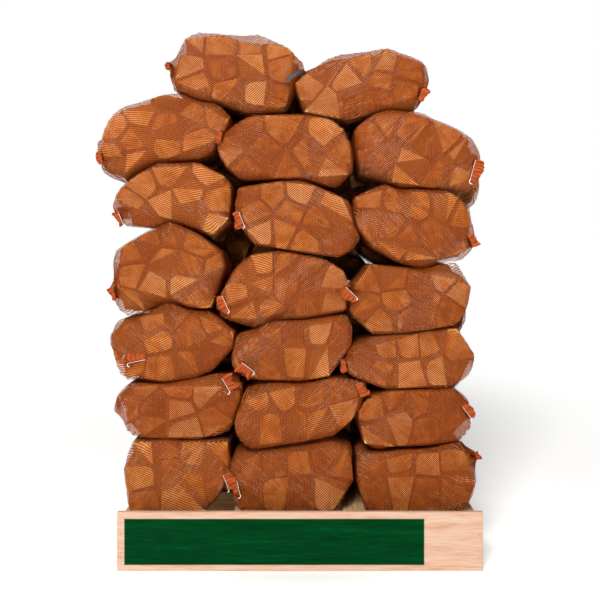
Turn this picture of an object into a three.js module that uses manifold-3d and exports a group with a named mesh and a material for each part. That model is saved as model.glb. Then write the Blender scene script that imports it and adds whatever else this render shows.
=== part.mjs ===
// A pallet of netted oak logs: forty net bags of split logs, two rows deep, on a pine pallet.
// Millimetres, +Z up, the front board faces -Y, origin under the middle bottom board.
import * as THREE from 'three';
import { mergeVertices } from 'three/addons/utils/BufferGeometryUtils.js';
import Module from 'manifold-3d';

const wasm = await Module();
wasm.setup();

// Pallet
const PALLET = { length: 1200, depth: 800, height: 160 };
const BOARD = { thick: 20, width: 80 };
const TOP_BOARDS = 7;
const BOTTOM_BOARDS = 3;
const BEARER = { thick: 45, count: 3 };
const FRONT_BOARD = { length: 1200, height: 194, thick: 20 };

// Logs and bags
const LOG_LENGTH = 330;
const BUNDLE_LENGTH = 300;
const SHORT_OF_FRONT = { longLogs: 6, shortLogs: 22, atRim: 4 };
const SHARE_OF_SHORT_LOGS = 0.35;
const RIM_WIDTH = 60;
const ROW_GAP = 6;
const LOG_GAP = 8;
const NET_TO_LOG = 3;
const BAG_GAP = 1.5;
const LARGEST_GAP_FILLED = 200;
const LONGEST_SLACK_EDGE = 120;
const REAR_SAG = 110;
const SHORTEST_EDGE = 28;

const TOUCH_GAP = 0.3;

// The bag outlines and the middles of their log ends are points of the photo, read by eye.
const PHOTO = { middleColumn: 300, horizonRow: 255, mmPerPixel: 3.381, cameraHeight: 1036 };

const points = (text) => text.split(' ').map((pair) => {
  const [column, row] = pair.split(',').map(Number);
  return new THREE.Vector2(
    (column - PHOTO.middleColumn) * PHOTO.mmPerPixel,
    PHOTO.cameraHeight - (row - PHOTO.horizonRow) * PHOTO.mmPerPixel,
  );
});

// Layer 1 stands on the pallet. Each bag has its outline, clockwise, and its log ends.
const BAGS = {
  '7_left': {
    outline: '168,63 179,53 184,34 197,29 218,30 232,33 259,31 284,42 303,59 306,70 292,82 '
      + '291,98 286,111 246,112 220,101 198,99 182,90 172,90',
    logs: '190,42 188,62 195,84 218,46 222,66 230,90 250,63 250,41 277,46 283,67 256,92 279,97',
  },
  '7_right': {
    outline: '293,81 308,69 327,56 340,51 376,48 388,44 412,55 428,60 431,80 420,100 419,108 '
      + '390,106 366,114 350,119 322,115 303,111',
    logs: '307,90 331,66 324,104 353,99 346,77 363,60 384,58 409,68 382,99 383,80 404,90',
  },
  '6_left': {
    outline: '96,155 99,135 108,115 120,104 150,97 165,91 181,90 194,98 218,101 231,115 224,131 '
      + '210,154 197,159 160,160 134,169 121,183 100,171',
    logs: '138,109 167,99 166,123 190,114 217,113 163,147 198,143 112,126 131,140 112,155 136,160',
  },
  '6_middle': {
    outline: '219,136 238,122 251,114 302,113 330,117 345,127 353,148 355,168 339,187 324,185 '
      + '309,177 262,179 240,180 226,168 217,148',
    logs: '243,128 284,126 328,130 262,151 309,157 284,170 246,170 228,150 336,169 342,150',
  },
  '6_right': {
    outline: '355,127 374,112 391,107 420,111 450,124 474,136 480,150 480,176 471,192 440,188 '
      + '400,187 386,180 361,173 357,150',
    logs: '369,132 383,154 368,166 392,116 412,128 430,140 448,135 412,162 398,178 440,170 '
      + '466,150 463,175',
  },
  '5_left': {
    outline: '109,205 121,185 136,173 158,162 197,160 224,174 232,184 229,222 210,240 200,231 '
      + '169,220 152,228 120,224 118,214',
    logs: '168,171 187,191 210,174 217,198 191,214 215,227 163,205 140,184 128,203 146,218',
  },
  '5_middle': {
    outline: '237,187 282,180 303,180 316,185 352,200 355,222 362,238 354,250 340,258 310,255 '
      + '280,249 252,245 246,232 235,221',
    logs: '248,193 271,194 256,210 300,192 318,222 335,212 303,240 339,243 262,233 283,232 290,212',
  },
  '5_right': {
    outline: '355,196 387,181 396,188 450,190 473,203 472,218 479,243 461,261 446,261 424,270 '
      + '400,264 372,248 358,228 354,210',
    logs: '371,196 396,200 372,220 393,226 408,238 420,205 445,205 463,215 435,235 462,245 '
      + '395,250 418,257',
  },
  '4_left': {
    outline: '112,250 146,231 169,221 198,234 222,252 225,266 212,309 188,310 177,303 166,300 '
      + '137,316 123,317 111,298 114,284 110,262',
    logs: '125,250 148,240 168,234 165,260 195,245 213,272 130,275 150,287 185,285 125,303 '
      + '195,300 188,265',
  },
  '4_middle': {
    outline: '217,307 226,283 234,268 250,254 280,250 326,259 345,271 351,288 348,312 300,320 '
      + '268,320 257,331 232,322 219,314',
    logs: '243,268 235,292 262,262 285,262 312,268 335,280 262,288 285,290 310,298 335,302 '
      + '245,312 270,310',
  },
  '4_right': {
    outline: '352,298 353,287 370,264 412,268 424,271 446,262 459,262 474,288 467,315 457,326 '
      + '430,331 392,336 372,335 352,315',
    logs: '370,280 395,280 420,284 445,278 462,294 365,305 385,322 410,320 398,300 428,305 450,312',
  },
  '3_left': {
    outline: '108,338 114,320 137,317 166,301 189,311 208,310 235,333 233,350 212,372 198,378 '
      + '164,384 132,379 123,384 110,349',
    logs: '124,330 150,320 172,315 191,334 214,325 224,347 206,358 187,364 160,368 128,362 158,343',
  },
  '3_middle': {
    outline: '231,368 232,352 236,334 259,331 268,321 300,321 348,314 354,328 352,345 330,377 '
      + '300,384 272,381 250,381',
    logs: '248,345 268,335 295,332 320,332 342,338 245,366 270,362 295,360 320,362',
  },
  '3_right': {
    outline: '345,363 352,346 374,337 434,331 448,327 458,327 478,358 471,377 457,388 385,390 '
      + '366,382 350,373',
    logs: '363,354 388,348 410,345 430,345 460,350 382,373 412,374 440,370 462,372',
  },
  '2_left': {
    outline: '110,413 114,397 126,384 158,385 216,376 229,377 242,389 240,397 231,432 204,440 '
      + '131,440 123,432 121,423',
    logs: '125,405 140,390 153,409 178,410 180,390 205,392 215,422 185,432 150,430 228,405',
  },
  '2_middle': {
    outline: '233,424 240,398 248,387 278,382 298,386 332,378 367,385 355,420 334,439 294,445 '
      + '262,451 246,449 236,438',
    logs: '256,400 282,398 310,398 340,392 246,428 270,428 295,425 320,424 345,412',
  },
  '2_right': {
    outline: '357,413 367,399 392,391 456,390 469,402 472,424 464,443 428,449 406,448 376,453 '
      + '364,446 361,432',
    logs: '375,408 395,402 418,404 445,405 378,436 400,425 428,432 452,432',
  },
  '1_left': {
    outline: '131,442 228,442 229,474 222,492 206,514 127,514 122,468',
    logs: '140,455 165,452 192,455 216,455 140,480 165,478 192,482 213,480 145,500 175,500',
  },
  '1_middle': {
    outline: '230,470 233,455 272,452 332,442 354,450 354,482 336,514 238,514 230,488',
    logs: '248,468 272,466 298,463 325,458 343,470 250,495 275,492 300,495 325,495',
  },
  '1_right': {
    outline: '357,455 388,454 406,451 428,451 464,444 472,456 478,482 472,502 464,514 366,514 '
      + '357,484',
    logs: '374,466 400,464 428,465 455,462 374,492 402,486 428,492 455,492',
  },
};

const PINE = { color: 0xe6c79c, roughness: 0.8, metalness: 0 };
const PALE_PINE = { color: 0xf4dcb8, roughness: 0.75, metalness: 0 };
const NETTED_OAK = { color: 0xb8692f, roughness: 0.85, metalness: 0 };

const object = new THREE.Group();

function addMesh(name, geometry, finish) {
  const mesh = new THREE.Mesh(geometry, new THREE.MeshStandardMaterial(finish));
  mesh.name = name;
  object.add(mesh);
  return mesh;
}

// A repeatable spread of numbers from 0 to 1.
function spread(n) {
  const wave = Math.sin(n * 12.9898) * 43758.5453;
  return wave - Math.floor(wave);
}

const across = (count, i, reach) => -reach + (2 * reach * i) / (count - 1);

// Pallet: boards along Y above and below three bearers along X.
function buildPallet() {
  const bearerHeight = PALLET.height - 2 * BOARD.thick;
  const boardReach = (PALLET.length - BOARD.width) / 2;
  const bearerReach = (PALLET.depth - BEARER.thick) / 2;
  const board = new THREE.BoxGeometry(BOARD.width, PALLET.depth, BOARD.thick);
  const bearer = new THREE.BoxGeometry(
    PALLET.length,
    BEARER.thick,
    bearerHeight - 2 * TOUCH_GAP,
  );
  for (let i = 0; i < TOP_BOARDS; i++) {
    addMesh(`top_board_${i + 1}`, board, PINE)
      .position.set(across(TOP_BOARDS, i, boardReach), 0, PALLET.height - BOARD.thick / 2);
  }
  for (let i = 0; i < BOTTOM_BOARDS; i++) {
    addMesh(`bottom_board_${i + 1}`, board, PINE)
      .position.set(across(BOTTOM_BOARDS, i, boardReach), 0, BOARD.thick / 2);
  }
  for (let i = 0; i < BEARER.count; i++) {
    addMesh(`bearer_${i + 1}`, bearer, PINE)
      .position.set(0, across(BEARER.count, i, bearerReach), PALLET.height / 2);
  }
}

// Front board: stands on the floor, nailed to the front of the pallet.
function buildFrontBoard() {
  const { length, height, thick } = FRONT_BOARD;
  addMesh('front_board', new THREE.BoxGeometry(length, thick, height), PALE_PINE)
    .position.set(0, -PALLET.depth / 2 - TOUCH_GAP - thick / 2, height / 2);
}

const edgesOf = (outline) => outline.map((start, i) => [start, outline[(i + 1) % outline.length]]);

function middleOf(outline) {
  return outline
    .reduce((sum, point) => sum.add(point), new THREE.Vector2())
    .divideScalar(outline.length);
}

// How far a point is outside an outline, less than nothing inside it.
function clearance(outline, point) {
  let nearest = Infinity;
  let inside = false;
  for (const [a, b] of edgesOf(outline)) {
    const along = b.clone().sub(a);
    const share = THREE.MathUtils.clamp(point.clone().sub(a).dot(along) / along.lengthSq(), 0, 1);
    nearest = Math.min(nearest, a.clone().addScaledVector(along, share).distanceTo(point));
    const crosses = a.y > point.y !== b.y > point.y;
    if (crosses && point.x < a.x + (along.x * (point.y - a.y)) / along.y) inside = !inside;
  }
  return inside ? -nearest : nearest;
}

// Bags press on each other: each corner draws back until it is clear of the other bags.
function pressApart(outlines) {
  const step = 1;
  let moved = true;
  while (moved) {
    moved = false;
    for (const outline of outlines) {
      const middle = middleOf(outline);
      for (const corner of outline) {
        const meets = outlines.some((o) => o !== outline && clearance(o, corner) < BAG_GAP);
        if (meets) {
          corner.addScaledVector(middle.clone().sub(corner).normalize(), step);
          moved = true;
        }
      }
    }
  }
}

// An outline with a corner in the middle of each long edge, for the bag to sag at.
const slacker = (outline) => edgesOf(outline).flatMap(([a, b]) => (
  a.distanceTo(b) > LONGEST_SLACK_EDGE ? [a, a.clone().lerp(b, 0.5)] : [a]
));

// Bags sag into the gaps beside them: each corner that faces another bag moves out to meet it.
function fillGaps(outlines) {
  const step = 4;
  for (let moved = 0; moved < LARGEST_GAP_FILLED / 2; moved += step) {
    for (const outline of outlines) {
      const others = outlines.filter((o) => o !== outline);
      const middle = middleOf(outline);
      for (const corner of outline) {
        const outward = corner.clone().sub(middle).normalize();
        const beyond = (reach) => corner.clone().addScaledVector(outward, reach);
        const clear = (point, room) => others.every((o) => clearance(o, point) > room);
        const meets = [40, 80, 120, LARGEST_GAP_FILLED].some((reach) => !clear(beyond(reach), 0));
        if (meets && clear(beyond(step), BAG_GAP)) corner.copy(beyond(step));
      }
    }
  }
  pressApart(outlines);
}

// The part of a convex outline that lies on the inner side of a line.
function cutBack(outline, onLine, outward) {
  const kept = [];
  const beyond = (point) => point.clone().sub(onLine).dot(outward);
  for (const [a, b] of edgesOf(outline)) {
    const [from, to] = [beyond(a), beyond(b)];
    if (from <= 0) kept.push(a);
    if (from < 0 !== to < 0) kept.push(a.clone().lerp(b, from / (from - to)));
  }
  return kept;
}

// Edges too short to tell are left out by merging their corners.
function plainer(outline) {
  let corners = outline;
  while (corners.length > 4) {
    const lengths = edgesOf(corners).map(([a, b]) => a.distanceTo(b));
    const shortest = lengths.indexOf(Math.min(...lengths));
    if (lengths[shortest] > SHORTEST_EDGE) break;
    const next = (shortest + 1) % corners.length;
    const merged = corners[shortest].clone().lerp(corners[next], 0.5);
    corners = corners
      .map((corner, i) => (i === shortest ? merged : corner))
      .filter((corner, i) => i !== next);
  }
  return corners;
}

// A log end fills the space half way to the logs round it, inside the net.
function logOutline(log, logs, net) {
  const room = LOG_LENGTH;
  let end = [[-room, -room], [room, -room], [room, room], [-room, room]]
    .map(([x, y]) => new THREE.Vector2(log.x + x, log.y + y));
  for (const other of logs) {
    if (other === log) continue;
    const outward = other.clone().sub(log).normalize();
    const halfway = log.clone().lerp(other, 0.5).addScaledVector(outward, -LOG_GAP / 2);
    end = cutBack(end, halfway, outward);
  }
  for (const [a, b] of edgesOf(net)) {
    const outward = new THREE.Vector2(b.y - a.y, a.x - b.x).normalize();
    const onNet = a.clone().addScaledVector(outward, -NET_TO_LOG);
    const meets = end.some((corner) => corner.clone().sub(onNet).dot(outward) > 0);
    const inside = log.clone().sub(onNet).dot(outward) < 0;
    if (meets && inside) end = cutBack(end, onNet, outward);
  }
  return plainer(end);
}

function prism(outline, depth) {
  const shape = new THREE.Shape(outline);
  const geometry = new THREE.ExtrudeGeometry(shape, { depth, bevelEnabled: false, steps: 1 });
  geometry.deleteAttribute('normal');
  geometry.deleteAttribute('uv');
  const merged = mergeVertices(geometry);
  return new wasm.Manifold(new wasm.Mesh({
    numProp: 3,
    vertProperties: new Float32Array(merged.getAttribute('position').array),
    triVerts: new Uint32Array(merged.index.array),
  }));
}

function geometryOf(solid) {
  const { vertProperties, triVerts } = solid.getMesh();
  const geometry = new THREE.BufferGeometry();
  geometry.setAttribute('position', new THREE.BufferAttribute(vertProperties, 3));
  geometry.setIndex(new THREE.BufferAttribute(triVerts, 1));
  return geometry;
}

// How far a log comes: some lie short of the front, and those at the rim a little too.
function logReach(log, net, number) {
  const chance = spread(number);
  const short = chance < SHARE_OF_SHORT_LOGS;
  const furthest = short ? SHORT_OF_FRONT.shortLogs : SHORT_OF_FRONT.longLogs;
  const atRim = Math.max(0, 1 + clearance(net, log) / RIM_WIDTH);
  return LOG_LENGTH - furthest * spread(number + 0.5) - SHORT_OF_FRONT.atRim * atRim * !short;
}

// One bag: the netted bundle, with the log ends standing out of its outward face.
function buildBag(net, logs, number) {
  let solid = prism(net, BUNDLE_LENGTH);
  logs.forEach((log, i) => {
    const end = logOutline(log, logs, net);
    solid = solid.add(prism(end, logReach(log, net, number * 31 + i)));
  });
  return geometryOf(solid).rotateX(Math.PI / 2).translate(0, -ROW_GAP / 2, 0);
}

// The rear row is laid as the front row is, turned half way round and sagged together. Its lower
// layers are flatter, so that the middle ones lie lower than those in front.
function buildBags() {
  const names = Object.keys(BAGS);
  const outlines = names.map((name) => points(BAGS[name].outline).reverse());
  const onDeck = PALLET.height + TOUCH_GAP;
  const keepOnDeck = (rowOutlines) => rowOutlines.flat().forEach((corner) => {
    corner.y = Math.max(corner.y, onDeck);
  });
  const stackHeight = Math.max(...outlines.flat().map((corner) => corner.y)) - onDeck;
  const layRow = (row, rowOutlines, turn, firstNumber, sag) => names.forEach((name, i) => {
    const logs = points(BAGS[name].logs);
    for (const point of [...rowOutlines[i], ...logs]) {
      point.y -= sag * Math.sin((Math.PI * (point.y - onDeck)) / stackHeight);
    }
    const geometry = buildBag(rowOutlines[i], logs, firstNumber + i);
    addMesh(`bag_${row}_${name}`, geometry, NETTED_OAK).rotation.z = turn;
  });
  pressApart(outlines);
  keepOnDeck(outlines);
  layRow('front', outlines, 0, 0, 0);
  const sagging = outlines.map(slacker);
  fillGaps(sagging);
  keepOnDeck(sagging);
  layRow('rear', sagging, Math.PI, names.length, REAR_SAG);
}

buildPallet();
buildFrontBoard();
buildBags();

export default object;
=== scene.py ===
import math

import bmesh
import bpy
import numpy as np
from mathutils import Matrix, Vector


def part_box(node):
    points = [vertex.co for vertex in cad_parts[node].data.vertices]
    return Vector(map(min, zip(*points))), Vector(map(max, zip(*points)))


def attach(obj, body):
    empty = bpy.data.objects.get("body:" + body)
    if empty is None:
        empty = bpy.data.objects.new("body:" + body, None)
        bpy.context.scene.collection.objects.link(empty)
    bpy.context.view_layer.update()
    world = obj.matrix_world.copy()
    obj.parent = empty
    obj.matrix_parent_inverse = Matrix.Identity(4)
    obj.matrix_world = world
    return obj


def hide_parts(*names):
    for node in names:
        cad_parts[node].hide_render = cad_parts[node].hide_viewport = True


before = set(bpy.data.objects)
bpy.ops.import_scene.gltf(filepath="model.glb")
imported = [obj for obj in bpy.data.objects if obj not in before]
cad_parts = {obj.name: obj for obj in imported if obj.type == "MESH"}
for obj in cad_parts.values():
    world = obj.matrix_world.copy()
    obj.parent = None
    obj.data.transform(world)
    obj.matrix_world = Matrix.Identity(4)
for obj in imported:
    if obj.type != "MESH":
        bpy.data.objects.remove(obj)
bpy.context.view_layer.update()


# Pallet boards and bearers: sawn pine, nailed together, left rough from the saw. The arrises
# are knocked round and the faces wander a little from true.

def linear(hex_colour):
    """An sRGB hex colour as linear RGBA."""
    channels = [int(hex_colour[i:i + 2], 16) / 255 for i in (0, 2, 4)]
    return [c / 12.92 if c <= 0.04045 else ((c + 0.055) / 1.055) ** 2.4 for c in channels] + [1.0]


def feed(tree, node, inputs):
    """Links or sets a node's inputs. A node among the values stands for its first output."""
    for socket, value in inputs.items():
        value = value.outputs[0] if isinstance(value, bpy.types.Node) else value
        if isinstance(value, bpy.types.NodeSocket):
            tree.links.new(value, node.inputs[socket])
        else:
            node.inputs[socket].default_value = value


def add(tree, kind, inputs=(), stops=(), **settings):
    """Adds a shader node with its settings, feeds its inputs, and fills a ramp's hex colours."""
    made = tree.nodes.new("ShaderNode" + kind)
    for name, value in settings.items():
        setattr(made, name, value)
    feed(tree, made, dict(inputs))
    if stops:
        points = made.color_ramp.elements
        while len(points) < len(stops):
            points.new(0.5)
        for point, (place, colour) in zip(points, stops):
            point.position = place
            point.color = linear(colour)
    return made


def new_material(name):
    """A named material, its node tree and its surface."""
    material = bpy.data.materials.new(name)
    material.use_nodes = True
    tree = material.node_tree
    return material, tree, tree.nodes["Principled BSDF"]


BAND_WIDTH = 0.020      # the broad bands of paler and darker wood
GRAIN_WIDTH = 0.005     # pine's growth lines are 2 to 3 mm apart, drawn twice as wide to show
GRAIN_STRETCH = 14      # how much longer than wide both run


def pine_grain(tree, along):
    """Bands and growth lines together, and the growth lines alone, running along one axis."""
    place = add(tree, "TexCoord").outputs["Object"]
    scale = [1.0, 1.0, 1.0]
    scale["XYZ".index(along)] /= GRAIN_STRETCH
    drawn = add(tree, "Mapping", {"Vector": place, "Scale": scale})
    bands = add(tree, "TexNoise", {"Vector": drawn, "Scale": 1 / BAND_WIDTH, "Detail": 3.0})
    lines = add(tree, "TexNoise", {"Vector": drawn, "Scale": 1 / GRAIN_WIDTH, "Detail": 4.0})
    both = add(tree, "Math", {0: bands, 1: lines}, operation="ADD")
    half = add(tree, "Math", {0: both, 1: 0.5}, operation="MULTIPLY")
    return half, lines


def sawn_pine(name, along, stops):
    """Pine straight from the saw: dull, with darker growth lines and rough fibres."""
    material, tree, surface = new_material(name)
    grain, lines = pine_grain(tree, along)
    colour = add(tree, "ValToRGB", {"Fac": grain}, stops)
    bump = add(tree, "Bump", {"Height": lines, "Strength": 0.35, "Distance": 0.002})
    feed(tree, surface, {"Base Color": colour, "Roughness": 0.82, "Normal": bump})
    return material


ARRIS = 0.003
SAW_WANDER = 0.0006     # how far a sawn face strays from true
SLOW_WAVE = 17          # radians of each wave over a board's length
QUICK_WAVE = 41
CUTS_ALONG = 14


def into_scene(name, verts=(), faces=()):
    """An object with a mesh of these faces."""
    mesh = bpy.data.meshes.new(name)
    mesh.from_pydata(verts, [], faces)
    made = bpy.data.objects.new(name, mesh)
    bpy.context.scene.collection.objects.link(made)
    return made


def sawn_board(name, node, along, seed):
    """A board in the place of its node, with knocked arrises and slightly wandering faces."""
    low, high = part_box(node)
    rng = np.random.default_rng(seed)
    axis = "XYZ".index(along)
    bm = bmesh.new()
    bmesh.ops.create_cube(bm, size=1.0)
    for v in bm.verts:
        v.co = Vector(low[i] + (v.co[i] + 0.5) * (high[i] - low[i]) for i in range(3))
    bmesh.ops.bevel(bm, geom=bm.edges[:], offset=ARRIS, segments=2, affect="EDGES", profile=0.6)
    length = high[axis] - low[axis]
    long_edges = [e for e in bm.edges
                  if abs(e.verts[0].co[axis] - e.verts[1].co[axis]) > length / 2]
    bmesh.ops.subdivide_edges(bm, edges=long_edges, cuts=CUTS_ALONG)
    waves = rng.uniform(0, math.tau, (3, 2))
    for v in bm.verts:
        share = (v.co[axis] - low[axis]) / length
        for i in range(3):
            if i != axis:
                side = 1 if v.co[i] > (low[i] + high[i]) / 2 else -1
                wave = math.sin(share * SLOW_WAVE + waves[i, 0] + side)
                wave += math.sin(share * QUICK_WAVE + waves[i, 1])
                v.co[i] -= side * SAW_WANDER * (2 + wave) / 2
    board = into_scene(name)
    bm.to_mesh(board.data)
    bm.free()
    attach(board, "root")
    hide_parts(node)
    return board


PALLET_PINE = [(0.30, "8a6238"), (0.46, "b98e5c"), (0.60, "d2ac79"), (0.75, "dfc196")]
pallet_pine = {along: sawn_pine(f"sawn_pine_along_{along}", along, PALLET_PINE) for along in "XY"}
pallet_nodes = sorted(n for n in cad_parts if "board_" in n or "bearer" in n)
for count, node in enumerate(pallet_nodes):
    along = "X" if "bearer" in node else "Y"
    board = sawn_board(f"sawn_{node}", node, along, count)
    board.data.materials.append(pallet_pine[along])


# Front board: one planed pale pine board, nailed over the pallet's front and standing on the
# floor. A rectangle is painted on it in thin dark green, so that the grain shows through.

PAINT_LEFT = -0.5755
PAINT_RIGHT = 0.407
PAINT_LOW = 0.021
PAINT_HIGH = 0.172
PAINT_EDGE = 0.0015      # half of the soft edge that a brush leaves
BARE_BOARD = [(0.34, "be8f77"), (0.46, "cba287"), (0.58, "d0ae99"), (0.70, "d3b8a6")]
GREEN_PAINT = [(0.34, "002c12"), (0.50, "003615"), (0.62, "003f1a"), (0.70, "064e27")]


def within(tree, value, least, most):
    """1 between two places, 0 outside, with a slightly soft edge."""
    rise = add(tree, "MapRange", {
        "Value": value, "From Min": least - PAINT_EDGE, "From Max": least + PAINT_EDGE})
    fall = add(tree, "MapRange", {
        "Value": value, "From Min": most + PAINT_EDGE, "From Max": most - PAINT_EDGE})
    both = {0: rise, 1: fall}
    return add(tree, "Math", both, operation="MULTIPLY")


def painted_pine():
    """Pale planed pine with a painted rectangle. The paint is thin and flat: it hardly shines,
    a little more than the bare board, and the grain shows in it as a faint streak."""
    material, tree, surface = new_material("planed_pine_painted_green")
    grain, lines = pine_grain(tree, "X")
    bare = add(tree, "ValToRGB", {"Fac": grain}, BARE_BOARD)
    paint = add(tree, "ValToRGB", {"Fac": grain}, GREEN_PAINT)
    place = add(tree, "TexCoord").outputs["Object"]
    apart = add(tree, "SeparateXYZ", {0: place})
    across = within(tree, apart.outputs["X"], PAINT_LEFT, PAINT_RIGHT)
    upward = within(tree, apart.outputs["Z"], PAINT_LOW, PAINT_HIGH)
    inside = add(tree, "Math", {0: across, 1: upward}, operation="MULTIPLY")
    mixed = add(tree, "Mix", {"Factor": inside, 6: bare, 7: paint}, data_type="RGBA")
    rough = add(tree, "MapRange", {"Value": inside, "To Min": 0.75, "To Max": 0.62})
    bump = add(tree, "Bump", {"Height": lines, "Strength": 0.2, "Distance": 0.001})
    feed(tree, surface, {"Base Color": mixed.outputs[2], "Roughness": rough,
                         "Specular IOR Level": 0.02, "Normal": bump})
    return material


front_board = sawn_board("planed_front_board", "front_board", "X", 90)
front_board.data.materials.append(painted_pine())


# Nails: round steel wire nails. Two with flat heads hold each pallet board to each bearer, and
# thin brads with hardly any head hold the front board to the front bearer.

HEAD_RADIUS = 0.0035
BRAD_RADIUS = 0.0015
HEAD_THICK = 0.0015
HEAD_SIDES = 12
NAILS_APART = 0.04       # across a board
NAILS_STAGGERED = 0.01   # along it, so that the board doesn't split
BRADS = [(side * 0.588, z) for side in (-1, 1) for z in (0.045, 0.122)]


def nails():
    """The middle of each head's face, the way it faces and its radius."""
    bearers = [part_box(node) for node in pallet_nodes if "bearer" in node]
    for node in pallet_nodes:
        if "bearer" in node:
            continue
        low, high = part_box(node)
        way, face = (1, high[2]) if "top" in node else (-1, low[2])
        for bearer_low, bearer_high in bearers:
            for side in (-0.5, 0.5):
                x = (low[0] + high[0]) / 2 + side * NAILS_APART
                y = (bearer_low[1] + bearer_high[1]) / 2 + side * NAILS_STAGGERED
                yield Vector((x, y, face)), Vector((0, 0, way)), HEAD_RADIUS
    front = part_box("front_board")[0][1]
    for x, z in BRADS:
        yield Vector((x, front, z)), Vector((0, -1, 0)), BRAD_RADIUS


# All the heads are one mesh. Steel gone dull shows as small grey dots that barely glint.
verts, faces = [], []
for middle, way, radius in nails():
    across, first = way.orthogonal().normalized() * radius, len(verts)
    for deep in (0, HEAD_THICK):
        verts += [middle - way * deep + Matrix.Rotation(i / HEAD_SIDES * math.tau, 3, way) @ across
                  for i in range(HEAD_SIDES)]
    outer = list(range(first, first + HEAD_SIDES))
    faces.append(outer)
    for a, b in zip(outer, outer[1:] + outer[:1]):
        faces.append((a, a + HEAD_SIDES, b + HEAD_SIDES, b))
    faces.append([a + HEAD_SIDES for a in reversed(outer)])
heads = into_scene("steel_nail_heads", verts, faces)
material, tree, surface = new_material("bright_steel_dulled")
feed(tree, surface, {"Base Color": linear("7d7872"), "Metallic": 0.9, "Roughness": 0.55})
heads.data.materials.append(material)
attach(heads, "root")


# Split oak logs: each bag holds about a dozen, 33 cm long, sawn to length and split with the
# grain. A log has a sawn end, two or more split faces and mostly one face of bark.

ROW_TURN = {"front": 1, "rear": -1}    # the rear row faces the other way along X and Y
CORE_FACE = 0.306                      # log ends stand further out than this
FAR_FACE = -0.01                       # the bag's other end lies further back than this
SQUARE_ON = 0.99                       # how nearly a face looks along Y, to be one of these


def bag_solid(node, turn):
    """The outline of a bag and of its log ends, as its solid has them, facing -Y."""
    bm = bmesh.new()
    bm.from_mesh(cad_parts[node].data)
    bmesh.ops.remove_doubles(bm, verts=bm.verts[:], dist=1e-5)
    bmesh.ops.dissolve_limit(bm, angle_limit=math.radians(1), verts=bm.verts[:], edges=bm.edges[:])
    ends = []
    outline = None
    for face in bm.faces:
        if abs(face.normal.y) < SQUARE_ON:
            continue
        places = np.array([(turn * v.co.x, v.co.z) for v in face.verts])
        depth = turn * face.calc_center_median().y
        following = np.roll(places, -1, axis=0)
        area = np.sum(places[:, 0] * following[:, 1] - places[:, 1] * following[:, 0])
        if area < 0:
            places = places[::-1]
        if depth < -CORE_FACE:
            ends.append((places, depth))
        elif depth > FAR_FACE:
            outline = places
    bm.free()
    ends.sort(key=lambda end: tuple(end[0].mean(0)))
    return outline, ends


CORNER_CUTS = (0.2, 0.28)    # how far along its edges each of the two rounds cuts a corner


def rounded(points):
    """Cuts the corners between the first and last point of an open line, twice over."""
    for cut in CORNER_CUTS:
        made = [points[0]]
        for a, b in zip(points[:-1], points[1:]):
            made += [a * (1 - cut) + b * cut, a * cut + b * (1 - cut)]
        points = made[:1] + made[2:-1] + [points[-1]]
    return points


def wedge(corners, pith):
    """A split wedge: sharp at the pith and at the two bark edges, round between those."""
    turned = np.roll(corners, -pith, axis=0)
    bark = rounded(list(turned[1:]))
    line = [turned[0], *bark]
    is_bark = [False, *[True] * (len(bark) - 1), False]
    return line, is_bark, turned[0]


def half_round(corners, flat):
    """A log split in two: one flat face and a round back."""
    turned = np.roll(corners, -flat - 1, axis=0)
    line = rounded(list(turned))
    is_bark = [True] * (len(line) - 1) + [False]
    return line, is_bark, (turned[0] + turned[-1]) / 2


def unit(vectors):
    """The same directions, each with a length of 1."""
    return vectors / (np.linalg.norm(vectors, axis=-1, keepdims=True) + 1e-12)


PITH_AWAY = 0.11        # how far off its pith lies


def inner_split(corners, rng):
    """A piece from inside a big log, split on every side. Its pith lies well outside it."""
    away = rng.normal(size=2)
    pith = corners.mean(0) + unit(away) * PITH_AWAY
    return list(corners), [False] * len(corners), pith


CORNER_LOST = 0.7       # how often splitting has taken a corner off
WEDGES = 0.5            # the share of wedges among the logs, and of half rounds
HALF_ROUNDS = 0.28


def log_outline(corners, rng):
    """One of the shapes that a round of oak splits into, in the room that the log has."""
    while len(corners) > 3 and rng.random() < CORNER_LOST * (len(corners) - 3) / 2:
        corners = np.delete(corners, rng.integers(len(corners)), axis=0)
    following = np.roll(corners, -1, axis=0)
    before = np.roll(corners, 1, axis=0)
    kind = rng.random()
    if kind < WEDGES:
        sharpness = np.sum(unit(following - corners) * unit(before - corners), axis=1)
        return wedge(corners, int(np.argmax(sharpness)))
    if kind < WEDGES + HALF_ROUNDS:
        lengths = np.linalg.norm(following - corners, axis=1)
        return half_round(corners, int(np.argmax(lengths)))
    return inner_split(corners, rng)


# A log is drawn at these distances from the end of its room, in metres. The last two lie past
# its far end, and are drawn back to it. At each one it fills its room so far.
LOG_STATIONS = [0.003, 0.008, 0.03, 0.06, 0.11, 0.2, 0.9, 1.0]
SETTLED = [0.0, 0.0, 0.3, 0.7, 1.0, 1.0, 1.0, 1.0]
SAWN_ARRIS = 0.96            # of its width, where the saw came out
ROOM_PASSED = 0.03           # logs lie tight together behind their sawn ends, and against the net
FAR_TAPER = 0.02             # how long the last bit is, where a log narrows to its own room
UNEVEN_LENGTH = 0.012        # how much sooner than the longest a log may end
BARK_TO_NET = 0.0045
LONGEST_FACET = 0.022
SPLIT_ROUGHNESS = 0.0012
HOLLOW_TO_PROUD = (-1, 0.4)  # of that: torn wood is more often hollow than proud


def inside_outline(outline, x, z):
    """Whether each place lies in an outline."""
    found = np.zeros(len(x), bool)
    for a, b in zip(outline, np.roll(outline, -1, axis=0)):
        crosses = (a[1] > z) != (b[1] > z)
        found ^= crosses & (x < a[0] + (z - a[1]) / (b[1] - a[1] + 1e-12) * (b[0] - a[0]))
    return found


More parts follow.
